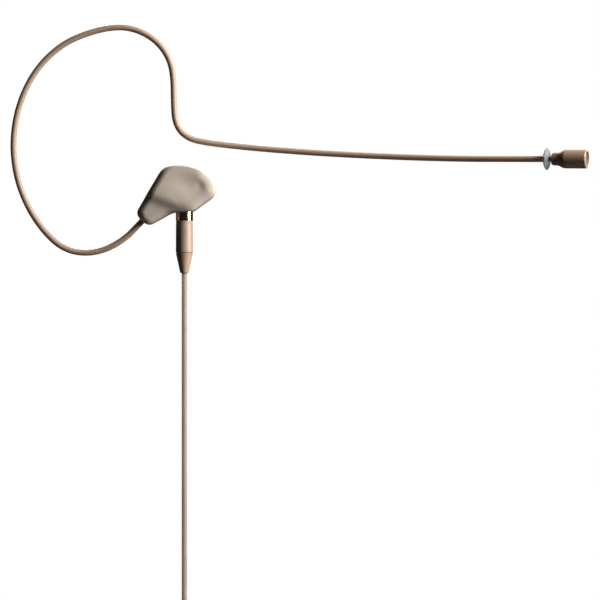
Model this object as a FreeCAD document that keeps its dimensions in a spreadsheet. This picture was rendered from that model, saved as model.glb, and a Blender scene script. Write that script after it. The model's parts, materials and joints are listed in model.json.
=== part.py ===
import FreeCAD, Part
import math
import os
import Sketcher

# Single-ear headset microphone, in millimetres.
# X runs along the boom towards the mouth, Z is up, and -Y faces the wearer's head.
# The origin is the underside of the hook's crown, where the wire rests on the ear.

Vector = FreeCAD.Vector
Placement = FreeCAD.Placement

# ------------------------------------------------------------------ driving sizes
# Radii end in _r. Stations along a turned part end in _at and are measured in its own frame.

SIZES = {
    # how far a cutting shape reaches past the surface that it cuts
    "overshoot": 1.0,
    # bent wire: jacket, steel capillary and coaxial lead, one inside the other
    "boom_r": 0.8, "boom_bore_r": 0.55,
    "tube_r": 0.52, "tube_bore_r": 0.36,
    "lead_r": 0.33,
    "neck_length": 1.2,
    "tube_in_housing": 2.5,
    "lead_in_housing": 3.1,
    "tube_in_core": 0.5,
    "lead_in_core": 1.3,
    # anchor ferrule on the wire's end
    "anchor_r": 1.05, "anchor_bore_r": 0.82, "anchor_flange_r": 1.25,
    "anchor_start_at": 0.35, "anchor_flange_at": 0.9, "anchor_end_at": 5.6,
    "anchor_hole_r": 1.07, "wire_way_length": 12.0,
    # drip ring
    "ring_bore_r": 0.83, "ring_hub_r": 1.3, "ring_rim_r": 2.85,
    "ring_middle_at": -1.35, "ring_hub_half": 0.95, "ring_web_half": 0.6, "ring_rim_half": 0.08,
    # capsule: boot, housing and cap, measured forward from the boot's rear face
    "capsule_r": 2.4,
    "boot_rear_r": 1.65, "boot_neck_r": 1.4, "boot_neck_at": 0.3, "boot_flare_at": 1.7,
    "boot_end_at": 3.6, "boot_bore_r": 0.54, "boot_socket_r": 1.22, "boot_socket_at": 1.2,
    "tail_r": 1.2, "tail_at": 1.25, "tail_room_at": 2.7, "tail_room_r": 0.95,
    "band_at": 3.62, "band_end_at": 4.12,
    "nose_r": 2.05, "nose_bore_r": 1.8, "nose_end_at": 8.2,
    "cap_at": 4.17, "cap_bore_r": 2.07, "cap_step_at": 8.8, "cap_mouth_r": 1.97, "cap_end_at": 9.25,
    "mesh_r": 2.04, "mesh_at": 8.68, "mesh_thickness": 0.11,
    "felt_r": 2.0, "felt_at": 8.3, "felt_thickness": 0.36,
    # microphone element inside the housing
    "gasket_r": 1.78, "gasket_at": 5.3, "gasket_end_at": 6.8,
    "can_r": 1.55, "can_bore_r": 1.43, "can_at": 5.0, "can_face_at": 7.88, "can_end_at": 8.0,
    "sound_hole_r": 0.35,
    "element_r": 1.41,
    "film_ring_bore_r": 1.15, "film_ring_at": 7.7, "film_ring_end_at": 7.86,
    "film_at": 7.66, "film_thickness": 0.03,
    "spacer_bore_r": 1.2, "spacer_at": 7.53, "spacer_end_at": 7.65,
    "plate_r": 1.18, "plate_at": 7.2, "plate_end_at": 7.5,
    "plate_hole_r": 0.12, "plate_hole_ring_r": 0.7,
    "holder_at": 5.35, "holder_bore_r": 0.98, "holder_ledge_at": 7.18, "holder_seat_r": 1.2,
    "board_r": 1.4, "board_at": 5.05, "board_thickness": 0.25,
    "chip_length": 0.8, "chip_width": 0.6, "chip_height": 0.4, "chip_at": 5.32,
    "hair_r": 0.09, "hair_apart": 0.16,
    # ear pad and the hard core inside it
    "pad_depth": 9.6, "pad_corner_r": 2.2, "pad_crown_r": 4.4, "pad_edge_r": 2.0,
    "core_depth": 5.8, "core_room_depth": 4.8,
    "core_low": -48.0, "core_high": -41.6, "core_left": 9.4, "core_right": 19.9,
    "core_wall": 0.7, "core_cut": 3.7, "core_chamfer": 0.7,
    "post_r": 0.65, "post_pin_r": 0.34, "post_hole_r": 0.37, "post_pin_length": 1.2,
    "post_hole_length": 1.3,
    # socket, measured down from its collar's lower face
    "socket_x": 16.9, "socket_z": -50.7,
    "collar_r": 2.3, "collar_length": 2.3,
    "stub_r": 1.7, "stub_top_at": -5.0,
    "screw_nose_r": 1.62, "screw_nose_length": 2.5, "socket_bore_r": 1.15,
    "tag_r": 2.25, "tag_low_at": -3.52, "tag_thickness": 0.12,
    "tag_lug_width": 1.0, "tag_lug_from_r": 1.81, "tag_lug_length": 1.69,
    "nut_r": 2.3, "nut_bore_r": 1.71, "nut_low_at": -3.66, "nut_high_at": -4.66,
    "nut_notch_width": 0.6, "nut_notch_depth": 0.35,
    "insulator_r": 1.14, "insulator_bore_r": 0.46, "insulator_top_at": -4.8, "insulator_end_at": 0.4,
    "contact_r": 0.45, "contact_bore_r": 0.22, "contact_top_at": -5.4, "contact_floor_at": -1.8,
    "contact_end_at": 1.2,
    "hookup_r": 0.12,
    # cable plug, in the socket's frame
    "pin_r": 0.2, "pin_tip_at": -1.2, "pin_end_at": 4.9,
    "plug_insulator_r": 1.0, "plug_insulator_bore_r": 0.21, "plug_insulator_at": 1.6,
    "plug_insulator_end_at": 5.0,
    "seal_r": 1.6, "seal_bore_r": 1.25, "seal_at": 2.54, "seal_end_at": 2.74,
    "plug_flange_r": 1.62, "plug_bore_r": 1.01, "plug_at": 2.76, "plug_flange_end_at": 3.5,
    "plug_tail_r": 1.3, "plug_end_at": 6.5,
    "crimp_r": 1.6, "crimp_bore_r": 1.31, "crimp_at": 4.6, "crimp_end_at": 9.6,
    "sleeve_top_r": 2.25, "sleeve_low_r": 2.28, "sleeve_at": 0.05, "sleeve_end_at": 8.55,
    "sleeve_thread_r": 1.7, "sleeve_step_at": 3.6, "sleeve_neck_r": 1.4, "sleeve_rear_at": 4.4,
    "sleeve_rear_r": 1.72,
    "cone_at": 8.6, "cone_end_at": 13.9, "cone_top_r": 2.25, "cone_low_r": 1.17,
    "cone_socket_r": 1.62, "cone_socket_end_at": 9.65, "cone_bore_r": 0.755,
    # cable: a coil of rectangular section holds the length that is put away
    "cable_r": 0.73,
    "coil_x": 24.4, "coil_y": 3.0, "coil_z": -174.5,
    "coil_r": 11.8, "coil_radial_half": 2.95, "coil_side_half": 3.75,
    "tie_wall": 0.4, "tie_length": 6.0, "tie_gap": 0.2, "tie_inner_gap": 0.65,
    # connector on the cable's far end, measured up from its nose
    "far_x": 16.9, "far_y": -1.2, "far_z": -242.0,
    "far_nose_r": 3.85, "far_bore_r": 3.25, "far_body_r": 4.95, "far_step_at": 10.0,
    "far_body_end_at": 22.0, "far_spigot_r": 4.25, "far_spigot_end_at": 26.0,
    "slot_width": 2.6, "slot_at": 4.0, "slot_length": 13.5, "slot_depth": 3.0,
    "insert_r": 3.2, "insert_at": 0.5, "insert_end_at": 11.0,
    "insert_flat": 2.45, "insert_hole_r": 0.53,
    "far_contact_r": 0.5, "far_contact_bore_r": 0.33, "far_contact_at": 1.2,
    "far_contact_length": 12.3, "far_contact_bore_length": 5.0, "far_contact_ring_r": 1.6,
    "far_lead_r": 0.2, "far_lead_ring_r": 0.3, "far_lead_straight": 2.5,
    "far_lead_from_at": 13.55, "far_lead_to_at": 21.4,
    "latch_width": 2.4, "latch_spring_width": 1.6,
    "back_at": 22.1, "back_taper_at": 26.6, "back_end_at": 33.0, "back_end_r": 3.4,
    "back_thread_r": 4.3, "back_room_r": 3.3, "back_room_end_at": 30.5, "back_throat_r": 2.0,
    "clamp_r": 3.2, "clamp_at": 24.5, "clamp_end_at": 30.4, "clamp_slot_width": 0.5,
    "clamp_slot_floor_r": 1.275,
    "relief_plug_r": 1.95, "relief_at": 30.6, "relief_skirt_at": 33.05, "relief_r": 3.0,
    "relief_taper_at": 35.0, "relief_end_at": 44.0, "relief_end_r": 1.25, "relief_bore_r": 0.775,
}

# Route of the bent wire: from the core in the pad, under and round the ear, over its crown,
# down in front of it, then along the cheek to the capsule. The last run is straight.
BOOM_ROUTE = [
    Vector(11.8, 0, -44.3), Vector(1.1, 0, -55.5), Vector(-4.4, 0, -58.6), Vector(-10.4, 0, -59.5),
    Vector(-15.9, 0, -57.9), Vector(-20.7, 0, -53.4), Vector(-25.0, 0, -46.9),
    Vector(-28.0, 0, -38.9), Vector(-29.0, 0, -29.4), Vector(-27.3, 0, -19.4),
    Vector(-22.8, 0, -10.3), Vector(-16.0, 0, -3.7), Vector(-8.3, 0, -0.3), Vector(-0.7, 0, 1.2),
    Vector(4.9, 0, 0.1), Vector(9.6, 0, -2.8), Vector(12.6, 0, -6.8), Vector(13.95, 0, -11.5),
    Vector(14.1, 0, -20.1), Vector(14.35, 0, -23.7), Vector(15.5, 0, -26.5), Vector(17.7, 0, -28.5),
    Vector(21.0, 0, -29.6), Vector(28.4, -0.2, -30.6), Vector(39.0, -1.0, -31.7),
    Vector(54.7, -3.2, -33.0), Vector(73.8, -7.6, -34.2), Vector(90.2, -13.1, -35.0),
    Vector(112.5, -21.8, -35.6),
]

# Route of the cable: straight down from the plug, over into the coil's outer turn,
# and from the coil's inner turn across its face down to the far connector.
DROP_ROUTE = [
    Vector(16.9, 0, -55.9), Vector(16.9, 0, -155.2), Vector(18.9, 0, -158.7),
    Vector(22.4, 0, -160.7), Vector(26.4, 0, -160.7),
]
TAIL_ROUTE = [
    Vector(27.2, 0, -184.0), Vector(24.0, -0.4, -184.4), Vector(20.6, -1.5, -185.0),
    Vector(18.1, -1.7, -187.2), Vector(16.9, -1.5, -190.4), Vector(16.9, -1.2, -194.4),
    Vector(16.9, -1.2, -220.5),
]

# Outline of the ear pad in X and Z, before its corners are rounded: the flat underside beside
# the socket, the right end, the crown, and the neck lobe that the wire comes out of.
PAD_OUTLINE = [
    (13.7, -48.4), (19.5, -48.4), (25.3, -43.8), (24.6, -38.9),
    (18.2, -36.0), (11.5, -36.0), (4.1, -48.7), (7.0, -52.3),
]
PAD_CROWN = 37.0

# Latch of the far connector in Y and Z: bar, hook tooth and thumb button in one piece.
LATCH_OUTLINE = [
    (-3.3, 4.3), (-3.3, 17.2), (-5.4, 16.8), (-5.7, 14.4), (-5.4, 12.2),
    (-3.9, 11.4), (-3.9, 6.2), (-4.35, 6.2), (-3.9, 4.8), (-3.9, 4.3),
]
LATCH_SPRING_OUTLINE = [
    (-3.28, 12.6), (-3.16, 12.6), (-2.76, 14.9), (-3.16, 17.1), (-3.28, 17.1), (-2.88, 14.9),
]

# Posts that locate the two halves of the core, in X and Z.
CORE_POSTS = [(10.9, -42.8), (18.4, -42.8)]

# How many times a feature repeats about its part's axis.
PLATE_HOLES = 8
NUT_NOTCHES = 4
CLAMP_SLOTS = 4
FAR_CONTACTS = 3
FIRST_CONTACT_ANGLE = 90

# Share of a route's run that each of its two bends may use.
BEND_SHARE = 0.45

# Wires soldered inside the pad: signal to the socket's contact, shield to its earth tag.
SIGNAL_ROUTE = [
    Vector(12.75, 0, -43.3), Vector(13.7, 0, -42.6), Vector(15.9, 0, -42.6),
    Vector(16.9, 0, -43.6), Vector(16.9, 0, -45.25),
]
SHIELD_ROUTE = [
    Vector(12.5, 0, -44.6), Vector(13.2, 0, -45.3), Vector(13.9, 0, -46.1), Vector(13.9, 0, -47.0),
]

doc = FreeCAD.newDocument("headset_microphone")
sheet = doc.addObject("Spreadsheet::Sheet", "dims")
nodes = {}


def name_outline(prefix, outline):
    """Give an outline's coordinates names in SIZES, and return its corners as those names."""
    corners = []
    for number, (across, up) in enumerate(outline):
        corner = (f"{prefix}_{number}_across", f"{prefix}_{number}_up")
        SIZES[corner[0]] = across
        SIZES[corner[1]] = up
        corners.append(corner)
    return corners


def fill_sheet():
    """Write every driving size to the sheet, one named row each."""
    for row, (name, size) in enumerate(SIZES.items(), start=1):
        sheet.set(f"A{row}", name)
        sheet.set(f"B{row}", str(size))
        sheet.setAlias(f"B{row}", name)
    doc.recompute()


def value(text):
    """Number for a sum of sizes such as 'ring_middle_at + ring_hub_half'."""
    total = 0.0
    sign = 1
    for word in text.split():
        if word in "+-":
            sign = -1 if word == "-" else 1
            continue
        total += sign * (SIZES[word] if word in SIZES else float(word))
        sign = 1
    return total


def formula(text):
    """The same sum as a spreadsheet expression."""
    return " ".join(f"dims.{word}" if word in SIZES else word for word in text.split())


# ------------------------------------------------------------------ frames

def frame_at(origin, forward, upward=Vector(0, 1, 0)):
    """Placement whose local Z points forward and whose local Y leans towards upward."""
    across = upward.cross(forward)
    return Placement(origin, FreeCAD.Rotation(across, upward, forward, "ZYX"))


def along(frame, distance):
    """The frame moved along its own Z."""
    return frame * Placement(Vector(0, 0, distance), FreeCAD.Rotation())


def point_in(frame, place):
    """Placement at a point given in a frame's own axes."""
    return frame * Placement(place, FreeCAD.Rotation())


def direction(start, end):
    """Unit vector from start to end."""
    step = end - start
    return step / step.Length


HOME = Placement()
CAPSULE = frame_at(BOOM_ROUTE[-1], direction(BOOM_ROUTE[-2], BOOM_ROUTE[-1]), Vector(0, 0, 1))
WIRE_END = frame_at(BOOM_ROUTE[0], direction(BOOM_ROUTE[0], BOOM_ROUTE[1]))
SOCKET = frame_at(Vector(value("socket_x"), 0, value("socket_z")), Vector(0, 0, -1))
COIL = frame_at(Vector(value("coil_x"), value("coil_y"), value("coil_z")),
                Vector(0, 1, 0), Vector(0, 0, 1))
FAR = Placement(Vector(value("far_x"), value("far_y"), value("far_z")), FreeCAD.Rotation())


# ------------------------------------------------------------------ building blocks

def outline_sketch(body, name, role, outline):
    """Closed polygon on one of the body's origin planes, each corner tied to the sheet."""
    sketch = body.newObject("Sketcher::SketchObject", name)
    plane = next(item for item in body.Origin.OriginFeatures if item.Role == role)
    sketch.AttachmentSupport = [(plane, "")]
    sketch.MapMode = "FlatFace"
    corners = [Vector(value(across), value(up), 0) for across, up in outline]
    count = len(corners)
    for edge in range(count):
        sketch.addGeometry(Part.LineSegment(corners[edge], corners[(edge + 1) % count]), False)
    for edge in range(count):
        sketch.addConstraint(Sketcher.Constraint("Coincident", edge, 2, (edge + 1) % count, 1))
    for edge, (across, up) in enumerate(outline):
        tie_corner(sketch, edge, across, "DistanceX", -2)
        tie_corner(sketch, edge, up, "DistanceY", -1)
    return sketch


def tie_corner(sketch, edge, text, kind, axis):
    """Tie one coordinate of an edge's first point to the sheet, or to the axis if it is 0."""
    if text == "0":
        sketch.addConstraint(Sketcher.Constraint("PointOnObject", edge, 1, axis))
        return
    number = sketch.addConstraint(Sketcher.Constraint(kind, -1, 1, edge, 1, value(text)))
    sketch.setExpression(f"Constraints[{number}]", formula(text))


def turned(name, outline, frame=HOME):
    """Body turned about its own Z from (radius, station) corners."""
    body = doc.addObject("PartDesign::Body", name)
    sketch = outline_sketch(body, f"{name}_outline", "XZ_Plane", outline)
    turn = body.newObject("PartDesign::Revolution", f"{name}_turn")
    turn.Profile = sketch
    turn.ReferenceAxis = (sketch, ["V_Axis"])
    turn.Angle = 360
    body.Tip = turn
    body.Placement = frame
    return body


def ring_outline(bore, outer, start, end):
    """Corners of a plain ring's section."""
    return [(bore, start), (outer, start), (outer, end), (bore, end)]


def disc_outline(outer, start, end):
    """Corners of a plain disc's section."""
    return [("0", start), (outer, start), (outer, end), ("0", end)]


def slab(name, outline, depth, role="XZ_Plane", frame=HOME):
    """Body padded evenly to both sides of an origin plane."""
    body = doc.addObject("PartDesign::Body", name)
    pad = body.newObject("PartDesign::Pad", f"{name}_pad")
    sketch = outline_sketch(body, f"{name}_outline", role, outline)
    pad.Profile = sketch
    pad.setExpression("Length", formula(depth))
    pad.Midplane = True
    body.Tip = pad
    body.Placement = frame
    doc.recompute()
    return body


def pocket_slab(body, name, outline, depth):
    """Cut an outline out of a slab, evenly to both sides of its mid plane."""
    before = body.Shape.Volume
    sketch = outline_sketch(body, f"{name}_outline", "XZ_Plane", outline)
    pocket = body.newObject("PartDesign::Pocket", f"{name}_pocket")
    pocket.Profile = sketch
    pocket.setExpression("Length", formula(depth))
    pocket.Midplane = True
    body.Tip = pocket
    expect_smaller(body, before)


def round_edges(body, name, radius, wanted):
    """Fillet those edges of the body's tip that wanted(edge) picks."""
    base = body.Tip
    picked = [f"Edge{i}" for i, edge in enumerate(base.Shape.Edges, start=1) if wanted(edge)]
    fillet = body.newObject("PartDesign::Fillet", name)
    fillet.Base = (base, picked)
    fillet.setExpression("Radius", formula(radius))
    body.Tip = fillet
    doc.recompute()


def holes_in_ring(body, name, hole_r, ring_r, count):
    """Drill a ring of through holes parallel to the body's Z, as one pocket and its pattern."""
    doc.recompute()
    before = body.Shape.Volume
    sketch = body.newObject("Sketcher::SketchObject", f"{name}_circle")
    plane = next(item for item in body.Origin.OriginFeatures if item.Role == "XY_Plane")
    sketch.AttachmentSupport = [(plane, "")]
    sketch.MapMode = "FlatFace"
    centre = Vector(value(ring_r), 0, 0)
    sketch.addGeometry(Part.Circle(centre, Vector(0, 0, 1), value(hole_r)), False)
    sketch.addConstraint(Sketcher.Constraint("PointOnObject", 0, 3, -1))
    offset = sketch.addConstraint(Sketcher.Constraint("DistanceX", -1, 1, 0, 3, value(ring_r)))
    sketch.setExpression(f"Constraints[{offset}]", formula(ring_r))
    size = sketch.addConstraint(Sketcher.Constraint("Radius", 0, value(hole_r)))
    sketch.setExpression(f"Constraints[{size}]", formula(hole_r))
    pocket = body.newObject("PartDesign::Pocket", f"{name}_pocket")
    pocket.Profile = sketch
    pocket.Type = "ThroughAll"
    pocket.Midplane = True
    pattern_about_axis(body, name, pocket, sketch, count)
    expect_smaller(body, before)


def notch_in_ring(body, name, floor_r, outer_r, count):
    """Cut radial slots, spaced evenly about the body's Z, as one pocket and its pattern."""
    doc.recompute()
    before = body.Shape.Volume
    half = f"{name}_half"
    outline = [(floor_r, f"- {half}"), (outer_r, f"- {half}"), (outer_r, half), (floor_r, half)]
    sketch = outline_sketch(body, f"{name}_outline", "XY_Plane", outline)
    pocket = body.newObject("PartDesign::Pocket", f"{name}_pocket")
    pocket.Profile = sketch
    pocket.Type = "ThroughAll"
    pocket.Midplane = True
    pattern_about_axis(body, name, pocket, sketch, count)
    expect_smaller(body, before)


def pattern_about_axis(body, name, feature, sketch, count):
    """Repeat a feature evenly about the sketch's normal."""
    pattern = body.newObject("PartDesign::PolarPattern", f"{name}_pattern")
    pattern.Originals = [feature]
    pattern.Axis = (sketch, ["N_Axis"])
    pattern.Angle = 360
    pattern.Occurrences = count
    body.Tip = pattern


def expect_smaller(body, before):
    """Stop if a cut took nothing away."""
    doc.recompute()
    if not body.Shape.Volume < before:
        raise ValueError(f"{body.Name}: the cut removed nothing")


def cylinder(name, radius, length, frame=HOME):
    """Part cylinder that starts at the frame and runs along its Z."""
    rod = doc.addObject("Part::Cylinder", name)
    rod.setExpression("Radius", formula(radius))
    rod.setExpression("Height", formula(length))
    rod.Placement = frame
    return rod


def box(name, length, width, height, corner, frame=HOME):
    """Part box whose lowest corner is at a point in the frame."""
    solid = doc.addObject("Part::Box", name)
    solid.setExpression("Length", formula(length))
    solid.setExpression("Width", formula(width))
    solid.setExpression("Height", formula(height))
    solid.Placement = point_in(frame, corner)
    return solid


def cut(name, base, *tools):
    """The base with every tool taken away."""
    for number, tool in enumerate(tools):
        result = doc.addObject("Part::Cut", f"{name}_cut_{number}")
        result.Base = base
        result.Tool = tool
        base = result
    return base


def fuse(name, *pieces):
    """Several overlapping pieces as one."""
    result = doc.addObject("Part::MultiFuse", name)
    result.Shapes = list(pieces)
    result.Refine = True
    return result


def common(name, first, second):
    """What two pieces share."""
    result = doc.addObject("Part::MultiCommon", name)
    result.Shapes = [first, second]
    return result


def group(name, pieces):
    """Separate solids kept as one node."""
    result = doc.addObject("Part::Compound", name)
    result.Links = list(pieces)
    return result


def node(label, piece):
    """Hand a finished piece over under its own label."""
    piece.Label = label
    nodes[label] = piece
    return piece


def path_edges(points):
    """Straight runs joined by tangent arcs, each as large as its two runs allow."""
    edges = []
    radii = []
    start = points[0]
    for before, corner, after in zip(points, points[1:], points[2:]):
        back = direction(corner, before)
        ahead = direction(corner, after)
        half_turn = (math.pi - back.getAngle(ahead)) / 2
        reach = BEND_SHARE * min((before - corner).Length, (after - corner).Length)
        radius = reach / math.tan(half_turn)
        middle = direction(Vector(), back + ahead) * radius * (1 / math.cos(half_turn) - 1)
        edges.append(Part.LineSegment(start, corner + back * reach).toShape())
        arc = Part.Arc(corner + back * reach, corner + middle, corner + ahead * reach)
        edges.append(arc.toShape())
        radii.append(round(radius, 1))
        start = corner + ahead * reach
    edges.append(Part.LineSegment(start, points[-1]).toShape())
    return edges, radii


def round_tube(name, route, radius):
    """Round rod swept along a route, its section's radius bound to the sheet."""
    edges, radii = path_edges(route)
    path = doc.addObject("Part::Feature", f"{name}_path")
    path.Shape = Part.Wire(edges)
    section = doc.addObject("Part::Circle", f"{name}_section")
    section.setExpression("Radius", formula(radius))
    section.Placement = frame_at(route[0], direction(route[0], route[1]))
    sweep = doc.addObject("Part::Sweep", name)
    sweep.Sections = [section]
    sweep.Spine = (path, [f"Edge{i}" for i in range(1, len(edges) + 1)])
    sweep.Solid = True
    sweep.Frenet = False
    doc.recompute()
    expected = math.pi * value(radius) ** 2 * path.Shape.Length
    if abs(sweep.Shape.Volume / expected - 1) > 0.01:
        raise ValueError(f"{name}: swept volume {sweep.Shape.Volume}, expected {expected}")
    print(f"{name}: length {path.Shape.Length:.1f}, bend radii {radii}")
    return sweep


def boom_route(inner, outer):
    """The wire's route with its first point moved into the core and its last along the capsule."""
    first = BOOM_ROUTE[0] - direction(BOOM_ROUTE[0], BOOM_ROUTE[1]) * inner
    last = BOOM_ROUTE[-1] + direction(BOOM_ROUTE[-2], BOOM_ROUTE[-1]) * outer
    return [first] + BOOM_ROUTE[1:-1] + [last]


# ------------------------------------------------------------------ bent wire

def build_boom():
    """Jacket, steel capillary and coaxial lead on one route, and the ferrule on its end."""
    jacket_route = boom_route(0, -value("neck_length"))
    jacket = cut("jacket", round_tube("jacket_outer", jacket_route, "boom_r"),
                 round_tube("jacket_inner", jacket_route, "boom_bore_r"))
    node("boom_jacket", jacket)

    tube_route = boom_route(value("tube_in_core"), value("tube_in_housing"))
    tube = cut("tube", round_tube("tube_outer", tube_route, "tube_r"),
               round_tube("tube_inner", tube_route, "tube_bore_r"))
    node("boom_tube", tube)

    lead_route = boom_route(value("lead_in_core"), value("lead_in_housing"))
    node("boom_lead", round_tube("lead", lead_route, "lead_r"))

    node("anchor_ferrule", turned("anchor_ferrule_body", [
        ("anchor_bore_r", "anchor_start_at"), ("anchor_flange_r", "anchor_start_at"),
        ("anchor_flange_r", "anchor_flange_at"), ("anchor_r", "anchor_flange_at"),
        ("anchor_r", "anchor_end_at"), ("anchor_bore_r", "anchor_end_at"),
    ], WIRE_END))


# ------------------------------------------------------------------ capsule

def build_capsule_shell():
    """Drip ring, rubber boot, metal housing, and the cap with its mesh and felt."""
    middle = "ring_middle_at"
    node("drip_ring", turned("drip_ring_body", [
        ("ring_bore_r", f"{middle} - ring_hub_half"), ("ring_hub_r", f"{middle} - ring_hub_half"),
        ("ring_hub_r", f"{middle} - ring_web_half"), ("ring_rim_r", f"{middle} - ring_rim_half"),
        ("ring_rim_r", f"{middle} + ring_rim_half"), ("ring_hub_r", f"{middle} + ring_web_half"),
        ("ring_hub_r", f"{middle} + ring_hub_half"), ("ring_bore_r", f"{middle} + ring_hub_half"),
    ], CAPSULE))
    node("capsule_boot", turned("capsule_boot_body", [
        ("boot_bore_r", "0"), ("boot_neck_r", "0"), ("boot_rear_r", "boot_neck_at"),
        ("boot_rear_r", "boot_flare_at"), ("capsule_r", "boot_end_at"),
        ("boot_socket_r", "boot_end_at"), ("boot_socket_r", "boot_socket_at"),
        ("boot_bore_r", "boot_socket_at"),
    ], CAPSULE))
    node("capsule_housing", turned("capsule_housing_body", [
        ("boot_bore_r", "tail_at"), ("tail_r", "tail_at"), ("tail_r", "band_at"),
        ("capsule_r", "band_at"), ("capsule_r", "band_end_at"), ("nose_r", "band_end_at"),
        ("nose_r", "nose_end_at"), ("nose_bore_r", "nose_end_at"), ("nose_bore_r", "band_end_at"),
        ("tail_room_r", "band_end_at"), ("tail_room_r", "tail_room_at"),
        ("boot_bore_r", "tail_room_at"),
    ], CAPSULE))
    node("front_cap", turned("front_cap_body", [
        ("cap_bore_r", "cap_at"), ("capsule_r", "cap_at"), ("capsule_r", "cap_end_at"),
        ("cap_mouth_r", "cap_end_at"), ("cap_mouth_r", "cap_step_at"), ("cap_bore_r", "cap_step_at"),
    ], CAPSULE))
    node("front_mesh", turned("front_mesh_body", disc_outline(
        "mesh_r", "mesh_at", "mesh_at + mesh_thickness"), CAPSULE))
    node("cap_felt", turned("cap_felt_body", disc_outline(
        "felt_r", "felt_at", "felt_at + felt_thickness"), CAPSULE))


def build_element():
    """The electret element: a can that holds the film, the back plate and a small amplifier."""
    node("element_gasket", turned("element_gasket_body", ring_outline(
        "can_r", "gasket_r", "gasket_at", "gasket_end_at"), CAPSULE))
    node("element_can", turned("element_can_body", [
        ("can_bore_r", "can_at"), ("can_r", "can_at"), ("can_r", "can_end_at"),
        ("sound_hole_r", "can_end_at"), ("sound_hole_r", "can_face_at"),
        ("can_bore_r", "can_face_at"),
    ], CAPSULE))
    node("diaphragm_ring", turned("diaphragm_ring_body", ring_outline(
        "film_ring_bore_r", "element_r", "film_ring_at", "film_ring_end_at"), CAPSULE))
    node("diaphragm", turned("diaphragm_body", disc_outline(
        "element_r", "film_at", "film_at + film_thickness"), CAPSULE))
    node("element_spacer", turned("element_spacer_body", ring_outline(
        "spacer_bore_r", "element_r", "spacer_at", "spacer_end_at"), CAPSULE))
    plate = turned("backplate_body", disc_outline("plate_r", "plate_at", "plate_end_at"), CAPSULE)
    holes_in_ring(plate, "plate_holes", "plate_hole_r", "plate_hole_ring_r", PLATE_HOLES)
    node("backplate", plate)
    node("backplate_holder", turned("backplate_holder_body", [
        ("holder_bore_r", "holder_at"), ("element_r", "holder_at"), ("element_r", "plate_end_at"),
        ("holder_seat_r", "plate_end_at"), ("holder_seat_r", "holder_ledge_at"),
        ("holder_bore_r", "holder_ledge_at"),
    ], CAPSULE))
    node("element_board", turned("element_board_body", disc_outline(
        "board_r", "board_at", "board_at + board_thickness"), CAPSULE))
    corner = Vector(-value("chip_length") / 2, -value("chip_width") / 2, value("chip_at"))
    node("element_fet", box("element_fet_body", "chip_length", "chip_width", "chip_height",
                            corner, CAPSULE))
    hairs = []
    for number, side in enumerate((-1, 1)):
        start = Vector(side * value("hair_apart"), 0, value("lead_in_housing"))
        hairs.append(cylinder(f"capsule_lead_{number}", "hair_r", "board_at - lead_in_housing",
                              point_in(CAPSULE, start)))
    node("capsule_leads", group("capsule_leads_group", hairs))


# ------------------------------------------------------------------ ear pad and core

def pad_half():
    """Half of the pad's depth."""
    return value("pad_depth") / 2


def is_corner_edge(edge):
    """True for an edge that runs across the pad, along Y."""
    return abs(edge.BoundBox.YLength - value("pad_depth")) < 0.01


def is_crown_corner(edge):
    """True for the pad's two upper corners."""
    return is_corner_edge(edge) and edge.BoundBox.ZMax > -PAD_CROWN


def is_lower_corner(edge):
    """True for the pad's other corners."""
    return is_corner_edge(edge) and not is_crown_corner(edge)


def is_rim_edge(edge):
    """True for an edge that lies in one of the pad's two faces."""
    flat = edge.BoundBox.YLength < 0.01
    return flat and abs(abs(edge.BoundBox.YMax) - pad_half()) < 0.01


def core_outline():
    """Corners of the core: a block cut off square to the wire, with one small chamfer."""
    return [
        ("core_left + core_cut", "core_low"), ("core_right - core_chamfer", "core_low"),
        ("core_right", "core_low + core_chamfer"), ("core_right", "core_high"),
        ("core_left", "core_high"), ("core_left", "core_low + core_cut"),
    ]


def core_room_outline():
    """Corners of the room inside the core, one wall in from the outside on every side."""
    left = "core_left + core_wall"
    right = "core_right - core_wall"
    low = "core_low + core_wall"
    high = "core_high - core_wall"
    return [
        (f"{left} + core_room_cut", low), (right, low), (right, high),
        (left, high), (left, f"{low} + core_room_cut"),
    ]


def across_y(place_x, place_y, place_z):
    """Frame at a point with its Z along the row's Y."""
    return frame_at(Vector(place_x, place_y, place_z), Vector(0, 1, 0), Vector(0, 0, 1))


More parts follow.
